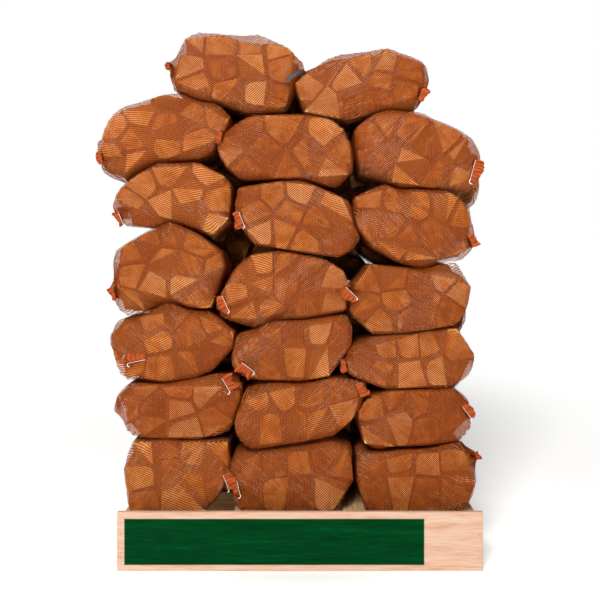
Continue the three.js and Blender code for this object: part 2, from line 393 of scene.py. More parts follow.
def nearest_on(outline, spots):
    """The place on an outline that is nearest to each spot."""
    runs = np.roll(outline, -1, axis=0) - outline
    share = np.einsum("pei,ei->pe", spots[:, None] - outline, runs) / np.sum(runs ** 2, axis=1)
    near = outline + np.clip(share, 0, 1)[:, :, None] * runs
    best = np.argmin(np.linalg.norm(spots[:, None] - near, axis=2), axis=1)
    return near[np.arange(len(spots)), best]


def kept_inside(outline, spots, room):
    """Draws what comes too near to the net back from it."""
    near = nearest_on(outline, spots)
    away = spots - near
    distance = np.linalg.norm(away, axis=1)
    inside = inside_outline(outline, spots[:, 0], spots[:, 1])
    inward = np.where(inside[:, None], away, -away) / (distance[:, None] + 1e-9)
    tight = ~inside | (distance < room)
    return np.where(tight[:, None], near + inward * room, spots)


def reach_of_room(corners, middle, ways):
    """How far the room of a log goes from its middle, each way."""
    run = np.roll(corners, -1, axis=0) - corners
    out = np.stack([run[:, 1], -run[:, 0]], axis=1)
    away = np.sum(out * (corners - middle), axis=1)
    towards = ways @ out.T
    return np.min(np.where(towards > 1e-9, away / np.maximum(towards, 1e-9), np.inf), axis=1)


def evened(line, is_bark):
    """Splits long edges, so that a split face can be rough."""
    points, bark = [], []
    for i, (start, barked) in enumerate(zip(line, is_bark)):
        end = line[(i + 1) % len(line)]
        pieces = max(1, math.ceil(np.linalg.norm(end - start) / LONGEST_FACET))
        for k in range(pieces):
            points.append(start + (end - start) * k / pieces)
            bark.append(barked)
    return np.array(points), bark


END_GRAIN, SPLIT_FACE, BARK = range(3)

# A plain block in the heart of a bundle stands for the logs that can't be seen there, so that
# the gaps stay dark. It takes up a share of the bundle's outline, between these two depths.
HEART_SHARE = 0.93
HEART_FRONT = -0.2
HEART_BACK = 0.024          # in front of the logs' far ends

LOG_GIRTH = (0.92, 1.1)     # of the room that a log has: the larger ones lie in front of the others
LOG_TWIST = math.radians(2)
SAW_LEAN = 0.09             # sawn ends are seldom square: a slope of about 5 degrees
LOG_TONE = (-0.15, 1.15)    # from the darkest log to the palest
BAG_TONE = 0.08             # how much lighter or darker a whole bag is
PAINTED_PALER_UPWARD = 0.14         # painted light: the upper bags are painted paler, for the light that falls on them from above: by so much for each metre
MIDDLE_LAYER = 1.3          # from this height
SHORT_LOG = 0.322           # logs that stop short of this lie deeper, and are painted darker for the shade there
DEEPER = (0.012, 0.045)
# painted shade: how much lower a deeper log's tone is
SHADED = 0.3


def turned_by(angle):
    """A turn in the plane of the log ends."""
    return np.array([[math.cos(angle), -math.sin(angle)], [math.sin(angle), math.cos(angle)]])


def oak_logs(name, solid, far_end, turn, rng):
    """All the logs of one bag as one mesh, with each one's pith and tone kept as attributes."""
    bag_outline, ends = solid
    # each bag's tone, with painted light that makes the higher bags paler
    bag_tone = rng.normal() * BAG_TONE + PAINTED_PALER_UPWARD * (bag_outline[:, 1].mean() - MIDDLE_LAYER)
    verts, faces, kinds, piths, tones = [], [], [], [], []
    for corners, depth in ends:
        line, is_bark, pith = log_outline(corners, rng)
        outline, bark = evened(line, is_bark)
        middle = outline.mean(0)
        twisted = (outline - middle) @ turned_by(rng.normal() * LOG_TWIST)
        outline = middle + twisted * rng.uniform(*LOG_GIRTH)
        count = len(outline)
        away = np.linalg.norm(outline - middle, axis=1)[:, None]
        outward = unit(outline - middle)
        room = reach_of_room(corners, middle, outward)[:, None]
        leaning = (outline - middle) @ (rng.normal(size=2) * SAW_LEAN)
        leaning -= leaning.min()
        tone = bag_tone + rng.uniform(*LOG_TONE)
        # a log that lies deeper is painted darker, as painted shade
        if depth > -SHORT_LOG:
            tone -= SHADED
            depth += rng.uniform(*DEEPER)
        log_end = far_end - rng.uniform(0, UNEVEN_LENGTH)
        first = len(verts)
        for k, (station, settled) in enumerate(zip(LOG_STATIONS, SETTLED)):
            rough = rng.uniform(*HOLLOW_TO_PROUD, (count, 1)) * SPLIT_ROUGHNESS * min(k, 1)
            last = station == LOG_STATIONS[-1]
            filled = room + (0 if last else ROOM_PASSED)
            reach = away * (SAWN_ARRIS if k == 0 else 1.0) * (1 - settled) + filled * settled
            ring = kept_inside(bag_outline, middle + outward * (reach + rough), BARK_TO_NET)
            sloped = depth + station + leaning * (1 - settled)
            back = np.minimum(sloped, log_end - (0 if last else FAR_TAPER))
            verts += [(x, y, z) for (x, z), y in zip(ring, back)]
        rings = len(LOG_STATIONS)
        for k in range(rings - 1):
            for i in range(count):
                a, b = first + k * count + i, first + k * count + (i + 1) % count
                faces.append((a, b, b + count, a + count))
                kinds.append(BARK if bark[i] else SPLIT_FACE)
        front_y = depth + LOG_STATIONS[0] + leaning.mean()
        sawn_ends = ((front_y, first, -1), (log_end, first + (rings - 1) * count, 1))
        for end_y, ring_start, way in sawn_ends:
            verts.append((middle[0], end_y, middle[1]))
            centre = len(verts) - 1
            for i in range(count):
                a, b = ring_start + i, ring_start + (i + 1) % count
                faces.append((centre, b, a) if way < 0 else (centre, a, b))
                kinds.append(END_GRAIN)
        piths += [(x - pith[0], y, z - pith[1]) for x, y, z in verts[first:]]
        tones += [tone] * (len(verts) - first)
    heart = bag_outline.mean(0) + (bag_outline - bag_outline.mean(0)) * HEART_SHARE
    count, first = len(heart), len(verts)
    verts += [(x, y, z) for y in (HEART_FRONT, far_end - HEART_BACK) for x, z in heart]
    faces += [(first + i, first + (i + 1) % count, first + count + (i + 1) % count, first + count + i)
              for i in range(count)]
    faces.append(tuple(range(first + count - 1, first - 1, -1)))
    faces.append(tuple(range(first + count, first + 2 * count)))
    kinds += [SPLIT_FACE] * (count + 2)
    piths += verts[first:]
    tones += [0.0] * (2 * count)
    logs = into_scene(name, [(turn * x, turn * y, z) for x, y, z in verts], faces)
    mesh = logs.data
    mesh.polygons.foreach_set("material_index", kinds)
    from_pith = mesh.attributes.new("pith", "FLOAT_VECTOR", "POINT")
    from_pith.data.foreach_set("vector", np.ravel(piths))
    mesh.attributes.new("tone", "FLOAT", "POINT").data.foreach_set("value", tones)
    mesh.validate()
    bm = bmesh.new()
    bm.from_mesh(mesh)
    bmesh.ops.recalc_face_normals(bm, faces=bm.faces[:])
    bm.to_mesh(mesh)
    bm.free()
    return logs


RING_WIDTH = 0.007      # oak's rings are 2 to 3 mm wide, drawn coarser to show at all
RING_WANDER = 0.012     # how far a ring strays from round, over the length that follows
WANDER_LENGTH = 0.0357
BLOTCH_WIDTH = 0.0455   # damp and weathered patches
RAYS = 34               # drying cracks and rays, counted right round the pith
RING_SHARE = 0.09       # how much each of these adds to the shade
RAY_SHARE = 0.8
BLOTCH_SHARE = 1.1
TONE_SHARE = 0.7
DARKEST, PALEST = 0.65, 1.75
OAK_SHINE = 0.15        # dry, open wood shines far less than the usual 0.5
END_STOPS = [(0.0, "4a240b"), (0.25, "85491a"), (0.5, "b6712c"), (0.75, "d18e46"), (1.0, "e2aa6c")]


def kept_on_logs(tree):
    """The place of a point as seen from its log's pith, and its log's tone."""
    pith = add(tree, "Attribute", attribute_name="pith").outputs["Vector"]
    return pith, add(tree, "Attribute", attribute_name="tone").outputs["Fac"]


def oak_end_grain():
    """Sawn oak across the grain: warm brown and dull, with faint rings round the pith, drying
    cracks that run out from it, and patches where it is damp or weathered."""
    material, tree, surface = new_material("oak_end_grain")
    pith, tone = kept_on_logs(tree)
    apart = add(tree, "SeparateXYZ", {0: pith})
    across, upward = apart.outputs["X"], apart.outputs["Z"]
    flat = add(tree, "CombineXYZ", {0: across, 1: upward})
    distance = add(tree, "VectorMath", {0: flat}, operation="LENGTH").outputs["Value"]
    wander = add(tree, "TexNoise", {"Vector": pith, "Scale": 1 / WANDER_LENGTH, "Detail": 2.0})
    strayed = {0: wander, 1: RING_WANDER, 2: distance}
    bent = add(tree, "Math", strayed, operation="MULTIPLY_ADD")
    turns = add(tree, "Math", {0: bent, 1: math.tau / RING_WIDTH}, operation="MULTIPLY")
    rings = add(tree, "Math", {0: turns}, operation="SINE")
    angle = add(tree, "Math", {0: across, 1: upward}, operation="ARCTAN2")
    spun = add(tree, "Math", {0: angle, 1: RAYS / math.tau}, operation="MULTIPLY")
    radial = add(tree, "CombineXYZ", {0: spun, 1: distance, 2: tone})
    rays = add(tree, "TexNoise", {"Vector": radial, "Scale": 1.0, "Detail": 3.0})
    blotch = add(tree, "TexNoise", {"Vector": pith, "Scale": 1 / BLOTCH_WIDTH, "Detail": 5.0})
    shade = add(tree, "Math", {0: rays, 1: RAY_SHARE}, operation="MULTIPLY")
    for pattern, share in ((rings, RING_SHARE), (blotch, BLOTCH_SHARE), (tone, TONE_SHARE)):
        summed = {0: pattern, 1: share, 2: shade}
        shade = add(tree, "Math", summed, operation="MULTIPLY_ADD")
        if pattern is rings:
            height = shade
    scaled = add(tree, "MapRange", {"Value": shade, "From Min": DARKEST, "From Max": PALEST})
    colour = add(tree, "ValToRGB", {"Fac": scaled}, END_STOPS)
    bump = add(tree, "Bump", {"Height": height, "Strength": 0.5, "Distance": 0.002})
    feed(tree, surface, {"Base Color": colour, "Roughness": 0.85,
                         "Specular IOR Level": OAK_SHINE, "Normal": bump})
    return material


SIDE_TONE_SHARE = 0.25  # as TONE_SHARE above, for split faces and bark


def along_the_log(name, width, stretch, stops, rough, depth):
    """Split wood or bark, dull, with long fibres or ridges drawn out along the log."""
    material, tree, surface = new_material(name)
    pith, tone = kept_on_logs(tree)
    scale = [1 / width, 1 / (width * stretch), 1 / width]
    drawn = add(tree, "Mapping", {"Vector": pith, "Scale": scale})
    fibres = {"Vector": drawn, "Scale": 1.0, "Detail": 4.0, "Roughness": 0.6}
    pattern = add(tree, "TexNoise", fibres)
    summed = {0: tone, 1: SIDE_TONE_SHARE, 2: pattern}
    shade = add(tree, "Math", summed, operation="MULTIPLY_ADD")
    scaled = add(tree, "MapRange", {"Value": shade, "From Min": 0.3, "From Max": 0.95})
    colour = add(tree, "ValToRGB", {"Fac": scaled}, stops)
    bump = add(tree, "Bump", {"Height": pattern, "Strength": 0.7, "Distance": depth})
    feed(tree, surface, {"Base Color": colour, "Roughness": rough,
                         "Specular IOR Level": OAK_SHINE, "Normal": bump})
    return material


SPLIT_WIDTH = 0.006     # bundles of fibres 1 to 3 mm wide, drawn coarser to show
BARK_WIDTH = 0.011      # the ridges of oak bark, at their real width
# split faces: oak's own brown, painted darker for the shade in the gaps between the logs
SPLIT_AND_SHADE_STOPS = [(0.0, "56321a"), (0.5, "8a582b"), (1.0, "b07c44")]
BARK_STOPS = [(0.0, "2a1c12"), (0.5, "66492f"), (1.0, "9c7a56")]
oak_materials = [
    oak_end_grain(),
    along_the_log("split_oak", SPLIT_WIDTH, 12, SPLIT_AND_SHADE_STOPS, 0.8, 0.002),
    along_the_log("oak_bark", BARK_WIDTH, 5, BARK_STOPS, 0.95, 0.005),
]
bag_names = sorted(n.removeprefix("bag_front_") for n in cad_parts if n.startswith("bag_front_"))
FAR_END = -0.006         # just short of the middle of the load, where the two rows meet
SEEDS = {"front": 100, "rear": 500}
solids = {}
for row, turn in ROW_TURN.items():
    for count, bag in enumerate(bag_names):
        node = f"bag_{row}_{bag}"
        solids[node] = bag_solid(node, turn)
        rng = np.random.default_rng(count + SEEDS[row])
        logs = oak_logs(f"oak_logs_{row}_{bag}", solids[node], FAR_END, turn, rng)
        for material in oak_materials:
            logs.data.materials.append(material)
        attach(logs, "root")
        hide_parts(node)


# Net bags: a tube of orange polyethylene tape, knitted by machine and pulled tight over the
# logs, with its length from left to right. One end is closed in the knitting. At the other a
# white polypropylene string in the hem draws it shut, and the hem stands out as a ruffle.

# How many knots there are along a bag and round it: first while it is drawn tight, then as it
# is drawn at last, in sixes. The real mesh is 4 to 5 mm, drawn 7 to 10 mm wide to show at all.
ALONG, AROUND = 57, 105
DRAWN_ALONG, DRAWN_AROUND = 72, 132
FAN = 12                 # knots along each end, from the side of the bag to its gather
NET_CLEAR = 0.003        # how far outside the wood the tape lies
OFF_THE_ENDS = 0.002     # more than that in front of the sawn ends
HUG = 0.003              # how far inside the bag's own outline the net may draw
HELD = 4                 # so many knots from a gather are free to leave the outline
HUG_BEHIND = -0.312      # from here back, as in front of it the net rounds over the log ends
RELAX_ROUNDS = 90
MOVE_ROUNDS = 50         # while the gather moves to its place
TENSION = 0.6
TWIST = 0.6              # meshes round for each one along, as a net is seldom pulled on straight
TUBE_SHORT = 0.012       # how far inside the bag's sides its ends begin to close
GATHER_OUT = 0.006       # how far outside them each end is gathered
CLOSED_HALF = 0.018      # half the width of the end that is closed in the knitting
GATHER_BEFORE = 0.011    # how far before the log ends the drawn end lies
DEEPEST_GATHER = 0.05    # and how far behind that at most, where it hangs over the bag's side

# Where each bag is drawn shut: the two ends of the drawstring, in metres to the right and up,
# and how far the ruffle stands out beyond it.
HEMS = {
    "7_left": ((-0.443, 1.686), (-0.436, 1.662), 0.016),
    "7_right": ((0.412, 1.600), (0.398, 1.560), 0.030),
    "6_left": ((-0.672, 1.384), (-0.664, 1.346), 0.020),
    "6_middle": ((-0.262, 1.448), (-0.268, 1.414), 0.024),
    "6_right": ((0.590, 1.355), (0.572, 1.290), 0.036),
    "5_left": ((-0.612, 1.182), (-0.594, 1.140), 0.022),
    "5_middle": ((-0.206, 1.181), (-0.188, 1.136), 0.032),
    "5_right": ((0.566, 1.100), (0.582, 1.062), 0.028),
    "4_left": ((-0.632, 0.926), (-0.618, 0.888), 0.020),
    "4_middle": ((-0.262, 0.898), (-0.240, 0.850), 0.028),
    "4_right": ((0.155, 0.928), (0.193, 0.891), 0.036),
    "3_left": ((-0.578, 0.672), (-0.520, 0.684), 0.034),
    "3_middle": ((-0.195, 0.674), (-0.156, 0.644), 0.040),
    "3_right": ((0.150, 0.684), (0.160, 0.644), 0.022),
    "2_left": ((-0.262, 0.620), (-0.238, 0.580), 0.044),
    "2_middle": ((0.188, 0.598), (0.204, 0.556), 0.036),
    "2_right": ((0.546, 0.526), (0.576, 0.486), 0.026),
    "1_left": ((-0.258, 0.294), (-0.240, 0.246), 0.036),
    "1_middle": ((-0.212, 0.276), (-0.202, 0.232), 0.024),
    "1_right": ((0.588, 0.370), (0.596, 0.346), 0.018),
}
HEM_THICK = 0.004        # half of it, where the drawn net is bunched up


def spans(outline, at, axis):
    """The lowest and highest crossing of an outline with a line across it."""
    found = []
    for a, b in zip(outline, np.roll(outline, -1, axis=0)):
        if (a[axis] > at) != (b[axis] > at):
            share = (at - a[axis]) / (b[axis] - a[axis])
            found.append(a[1 - axis] + share * (b[1 - axis] - a[1 - axis]))
    return min(found), max(found)


def walls_of(ends, far_end):
    """Each log as the flat walls that bound it: normals and offsets, so that inside is negative."""
    most = max(len(corners) for corners, _ in ends) + 2
    normals = np.zeros((len(ends), most, 3))
    offsets = np.full((len(ends), most), -1.0)
    for k, (corners, depth) in enumerate(ends):
        following = np.roll(corners, -1, axis=0)
        for i, (a, b) in enumerate(zip(corners, following)):
            out = np.array([b[1] - a[1], 0.0, a[0] - b[0]])
            normals[k, i] = out / np.linalg.norm(out)
            offsets[k, i] = -(normals[k, i, 0] * a[0] + normals[k, i, 2] * a[1])
        normals[k, len(corners)] = (0, -1, 0)
        offsets[k, len(corners)] = depth - OFF_THE_ENDS
        normals[k, len(corners) + 1] = (0, 1, 0)
        offsets[k, len(corners) + 1] = -far_end
    return normals, offsets


def push_out(places, normals, offsets):
    """Moves what has sunk into a log back out through the nearest wall."""
    flat = places.reshape(-1, 3)
    for k in range(len(normals)):
        beyond = flat @ normals[k].T + offsets[k]
        nearest = np.argmax(beyond, axis=1)
        depth = beyond[np.arange(len(flat)), nearest]
        sunk = depth < NET_CLEAR
        flat[sunk] += normals[k][nearest[sunk]] * (NET_CLEAR - depth[sunk])[:, None]
    return flat.reshape(places.shape)


def hold_out(places, outline):
    """Keeps the net's sides out at the bag's outline, where bark and splinters hold it."""
    flat = places.reshape(-1, 3)
    behind = np.flatnonzero((flat[:, 1] > HUG_BEHIND) & inside_outline(outline, flat[:, 0], flat[:, 2]))
    spots = flat[behind][:, [0, 2]]
    aim = nearest_on(outline, spots) - spots
    deep = np.linalg.norm(aim, axis=1)[:, None]
    flat[behind[:, None], [0, 2]] = spots + aim * np.clip((deep - HUG) / (deep + 1e-9), 0, 1)
    return flat.reshape(places.shape)


def net_places(bag, outline, ends, rng):
    """The knots of a net, drawn tight over its logs by letting each settle between its four
    neighbours and pushing it back out of the wood."""
    low, high = outline.min(0), outline.max(0)
    front, back = min(depth for _, depth in ends) - NET_CLEAR, FAR_END + NET_CLEAR
    places = np.zeros((ALONG + 1, AROUND, 3))
    height, depth = high[1] - low[1], back - front
    shares = np.cumsum([0, height, depth, height, depth]) / (2 * (height + depth))
    middle_z = (low[1] + high[1]) / 2
    tube = np.linspace(low[0] + TUBE_SHORT, high[0] - TUBE_SHORT, ALONG + 1 - 2 * FAN)
    twist = rng.uniform(-TWIST, TWIST)
    for i, x in enumerate(tube):
        position = (np.arange(AROUND) + twist * (i - len(tube) / 2)) / AROUND % 1
        bottom, top = spans(outline, x, 0)
        corners = np.array([(front, top), (front, bottom), (back, bottom), (back, top), (front, top)])
        places[FAN + i, :, 0] = x
        for axis in (0, 1):
            places[FAN + i, :, 1 + axis] = np.interp(position, shares, corners[:, axis])
    drawn = np.array(HEMS[bag][:2])
    side = "left" if drawn[:, 0].mean() < outline[:, 0].mean() else "right"
    middle_y = (front + back) / 2
    necks = {}
    for end, column, way in (("left", 0, -1.0), ("right", ALONG, 1.0)):
        at = drawn[:, 1].mean() if end == side else middle_z
        start = np.array([(low[0] if end == "left" else high[0]) + way * GATHER_OUT, middle_y, at])
        necks[end] = (column, start)
        section = places[FAN if end == "left" else ALONG - FAN]
        ends_at = drawn if end == side else np.array([(0, CLOSED_HALF), (0, -CLOSED_HALF)])
        ring = drawn_ring(section, start, ends_at)
        for k in range(FAN):
            spot = k if end == "left" else ALONG - k
            places[spot] = ring + (section - ring) * (k / FAN)
    column, start = necks[side]
    beyond = start[0] - drawn[:, 0].mean() if side == "left" else drawn[:, 0].mean() - start[0]
    before = front - GATHER_BEFORE + min(DEEPEST_GATHER, max(0.0, beyond + TUBE_SHORT))
    beside = np.array([start[0], before, start[2]])
    target = np.array([drawn[:, 0].mean(), before, start[2]])
    normals, offsets = walls_of(ends, FAR_END)
    for k in range(RELAX_ROUNDS):
        inner = places[1:-1]
        settled = (places[:-2] + places[2:] + np.roll(inner, 1, axis=1) + np.roll(inner, -1, axis=1)) / 4
        places[1:-1] = inner + TENSION * (settled - inner)
        moved = min(1.0, k / MOVE_ROUNDS)
        forward, sideways = min(1.0, moved * 2), max(0.0, moved * 2 - 1)
        spot = start + (beside - start) * forward + (target - beside) * sideways
        places[column] += spot - places[column].mean(0)
        places[1:-1] = push_out(places[1:-1], normals, offsets)
        places[HELD:-HELD] = hold_out(places[HELD:-HELD], outline)
    return places


def drawn_ring(section, centre, drawn):
    """The knots of a section drawn together along a drawstring, in the order that they had."""
    away = section - section.mean(0)
    away[:, 0] = 0
    away = unit(away)
    line = (drawn[0] - drawn[1]) / 2
    return centre + np.stack([away[:, 2] * line[0], away[:, 1] * HEM_THICK, away[:, 2] * line[1]], axis=1)


def finer(places):
    """The same net with its knots set closer together."""
    along = np.linspace(0, ALONG, DRAWN_ALONG + 1)
    i = np.minimum(along.astype(int), ALONG - 1)
    share = (along - i)[:, None, None]
    lines = places[i] * (1 - share) + places[i + 1] * share
    around = np.arange(DRAWN_AROUND) * AROUND / DRAWN_AROUND
    j = around.astype(int)
    share = (around - j)[None, :, None]
    return lines[:, j] * (1 - share) + lines[:, (j + 1) % AROUND] * share


def facing(places):
    """The outward direction at each knot."""
    along = np.gradient(places, axis=0)
    around = (np.roll(places, -1, axis=1) - np.roll(places, 1, axis=1)) / 2
    return unit(np.cross(around, along))


SEEN_DEPTH = -0.25        # gaps between bags are looked into this far
NEXT_BAG = 0.022          # a bag within this reach covers the net
BETWEEN_ROWS = 0.004      # in front of the logs' far ends
OTHER_ROW = {"front": "rear", "rear": "front"}


def hidden_knots(places, out, row, bag):
    """The knots that another bag or row covers, where the net is drawn three times as wide."""
    reach = places + out * NEXT_BAG
    x, y, z = (reach[:, :, i].ravel() for i in range(3))
    covered = np.zeros(len(x), bool)
    for other in bag_names:
        if other != bag:
            covered |= inside_outline(solids[f"bag_{row}_{other}"][0], x, z)
    covered &= y > SEEN_DEPTH
    between_rows = np.zeros(len(x), bool)
    for other in bag_names:
        between_rows |= inside_outline(solids[f"bag_{OTHER_ROW[row]}_{other}"][0], -x, z)
    covered |= between_rows & (places[:, :, 1].ravel() > FAR_END - BETWEEN_ROWS)
    return covered.reshape(places.shape[:2])


PLEATS = 11
PLEAT_DEPTH = 0.008
SLACK_SHARE = 0.6        # of that, for the slower bulges between them
PLEAT_REACH = 0.09       # how far from the gather they die away
PLEAT_START = 0.025      # and over how much they grow out of it


def pleated(places, column, rng):
    """Folds that run out from the gather and die away across the bag."""
    from_neck = np.linalg.norm(places - places[column].mean(0), axis=2)
    turn = np.arange(DRAWN_AROUND) / DRAWN_AROUND * math.tau
    ripple = np.sin(turn * PLEATS / 2 + rng.uniform(0, 6)) ** 2
    ripple += SLACK_SHARE * np.sin(turn * 2 + rng.uniform(0, 6)) ** 2
    fade = np.exp(-(from_neck / PLEAT_REACH) ** 2) * np.minimum(1, from_neck / PLEAT_START)
    return places + facing(places) * (PLEAT_DEPTH * ripple[None, :] * fade)[:, :, None]


TAPE = {"broad": 0.0027, "narrow": 0.0012}     # the width of each of the two sets
TAPE_LIFT = {"broad": 0.0006, "narrow": 0.0}   # the broad ones lie over the narrow ones
DRAWN_MESH = 0.0085      # where the knots stand closer than this, the tape folds up narrower
LEAST_WIDTH = 0.45
RUN = 2                  # a tape lies straight over so many knots
HIDDEN_RUN = 6           # and over so many where another bag covers it


def tape_faces(places, out, slant, width, lift, coarse):
    """One set of slanting tapes over the whole net, as flat ribbons."""
    count = places.shape[0]
    ahead = np.roll(places, -slant, axis=1)[np.minimum(np.arange(count) + 1, count - 1)]
    behind = np.roll(places, slant, axis=1)[np.maximum(np.arange(count) - 1, 0)]
    side = unit(np.cross(out, ahead - behind))
    cell = np.cross(np.gradient(places, axis=0), places - np.roll(places, 1, axis=1))
    apart = np.sqrt(np.linalg.norm(cell, axis=2))
    folded = np.clip(apart / DRAWN_MESH, LEAST_WIDTH, 1)[:, :, None]
    lifted = places + out * lift
    verts = np.stack([lifted - side * width * folded / 2, lifted + side * width * folded / 2], axis=2)
    index = np.arange(count * DRAWN_AROUND * 2).reshape(count, DRAWN_AROUND, 2)
    faces = []
    i, j = np.meshgrid(np.arange(count - 1), np.arange(DRAWN_AROUND), indexing="ij")
    half = HIDDEN_RUN // 2
    block = coarse[i // HIDDEN_RUN * HIDDEN_RUN + half, j // HIDDEN_RUN * HIDDEN_RUN + half]
    starts = {RUN: ~block & (i % RUN == 0), HIDDEN_RUN: block & (i % HIDDEN_RUN == 0) & (j % half == 0)}
    for step, mask in starts.items():
        a_i, a_j = i[mask], j[mask]
        b_i, b_j = np.minimum(a_i + step, count - 1), (a_j + slant * step) % DRAWN_AROUND
        faces.append(np.stack([index[a_i, a_j, 0], index[a_i, a_j, 1],
                               index[b_i, b_j, 1], index[b_i, b_j, 0]], axis=1))
    return verts.reshape(-1, 3), np.concatenate(faces)


SHEEN_SHARE = 0.22   # of the narrow tape, painted paler: a painted sheen where it catches the light
PATCH_WAVES = 4
PATCH_QUICKNESS = (0.06, 0.2)    # radians from knot to knot, along the bag
PATCH_RAGGED = 1.6               # how far single tapes stray from the patches


def painted_sheen(faces, rng):
    """Loose patches of the net where more of the tape is painted paler, as a painted sheen."""
    column, knot = faces[:, 0] // 2 // DRAWN_AROUND, faces[:, 0] // 2 % DRAWN_AROUND
    around = knot / DRAWN_AROUND * math.tau
    waves = sum(np.sin(column * rng.uniform(*PATCH_QUICKNESS) + rng.integers(1, 6) * around
                       + rng.uniform(0, 6)) for _ in range(PATCH_WAVES))
    waves = waves + rng.normal(0, PATCH_RAGGED, len(waves))
    return waves > np.quantile(waves, 1 - SHEEN_SHARE)


FRILL_ROWS = 8
RUFFLE_FOLDED = 0.8     # of its length, as its edge turns back
FRILL_LINES = (3, 9)    # so many strips in so many of a ruffle are in the net's darker shade
FLARE = 0.18            # how much wider than the hem it gets
FLATTENED = 0.5         # how much thinner, towards its edge
CRUMPLE = 0.001         # how deep its folds are at the hem, and how much deeper at its edge
EDGE_CRUMPLE = 0.0024
LIFTED = 0.003          # how far its edge stands forward


def ring_faces(rings, around):
    """Faces between rings of places, closed all the way round."""
    index = np.arange(rings * around).reshape(rings, around)
    following = np.roll(index, -1, axis=1)
    return np.stack([index[:-1], following[:-1], following[1:], index[1:]], axis=2).reshape(-1, 4)


def frill_faces(neck, line, side, length, rng):
    """The hem beyond the drawstring: net laid double, bunched into a ragged flat ruffle."""
    centre = neck.mean(0)
    half = np.linalg.norm(line)
    along = line / half
    outward = np.cross(along, (0.0, 1.0, 0.0))
    if outward[0] * side < 0:
        outward = -outward
    share = (neck - centre) @ along / half
    before = (neck - centre)[:, 1]
    phase = rng.uniform(0, math.tau, 6)
    turn = np.linspace(0, math.tau, AROUND, endpoint=False)
    made = [neck]
    for k in range(1, FRILL_ROWS):
        out = k / (FRILL_ROWS - 1)
        # slow and quick waves across the ruffle, in radians over half its width
        crumple = np.sin(7 * share + phase[0] + 2 * out) + 0.5 * np.sin(15 * share + phase[1] - 3 * out)
        ragged = 1 + 0.25 * np.sin(2.4 * share + phase[2]) + 0.07 * np.sin(21 * share + phase[3])
        wide = share * half * (1 + FLARE * math.sin(2.6 * out))
        wide += 0.002 * np.sin(5 * turn + phase[4] + 5 * out) * out
        front = before * (1 - FLATTENED * out) + crumple * (CRUMPLE + EDGE_CRUMPLE * out) - LIFTED * out
        made.append(centre + wide[:, None] * along + (length * out * ragged)[:, None] * outward
                    + front[:, None] * np.array([0.0, 1.0, 0.0]))
    return np.concatenate(made), ring_faces(FRILL_ROWS, AROUND)


SHORTEST_SHOWN = 0.045      # drawstrings shorter than this are lost in the ruffle
STRING_SIDES = 6
STRING_RADIUS = 0.0006      # where it runs through the hem
TAIL_RADIUS = 0.0013        # its knotted tail is thicker
TAIL_LENGTH = 0.028
TAIL_SHARES = (0.4, 1.1)    # of that, from one bag to another
STRING_BEFORE = 0.0035      # in front of the hem, in and out of which it weaves this far
STRING_WEAVE = 0.0012


def swept(path, radius):
    """A round string along a path."""
    run = unit(np.gradient(path, axis=0))
    first = unit(np.cross(run, (0.31, 0.52, 0.79)))     # a direction that no string runs in
    second = np.cross(run, first)
    turn = np.linspace(0, math.tau, STRING_SIDES, endpoint=False)[None, :, None]
    tube = path[:, None] + radius * (np.cos(turn) * first[:, None] + np.sin(turn) * second[:, None])
    return tube.reshape(-1, 3), ring_faces(len(path), STRING_SIDES)


def string_faces(neck, line, rng):
    """The white drawstring: a fine line through the hem, and its thicker knotted tail."""
    centre = neck.mean(0) - (0, HEM_THICK + STRING_BEFORE, 0)
    share = np.linspace(-1, 1, 12)[:, None]
    through = centre + share * line + np.array([0, -STRING_WEAVE, 0]) * np.cos(share * 9)
    low = through[-1] if through[-1, 2] < through[0, 2] else through[0]
    fall = np.linspace(0, 1, 10)[:, None]
    away = np.sign(line[0] * line[2]) or 1
    # the tail falls to one side and curls back
    bend = np.array([-away * 0.5, -0.12, -0.9]) * fall + np.array([away * 0.75, 0, 0.35]) * fall ** 2
    tail = low + bend * TAIL_LENGTH * rng.uniform(*TAIL_SHARES)
    parts = [swept(through, STRING_RADIUS), swept(tail, TAIL_RADIUS)]
    faces = np.concatenate([parts[0][1], parts[1][1] + len(parts[0][0])])
    return np.concatenate([part[0] for part in parts]), faces


# the broad tape's orange is darkened with painted shade, and the pale patches are painted sheen
SHADED_ORANGE, LIGHT, GATHERED, STRING, SHEEN = range(5)


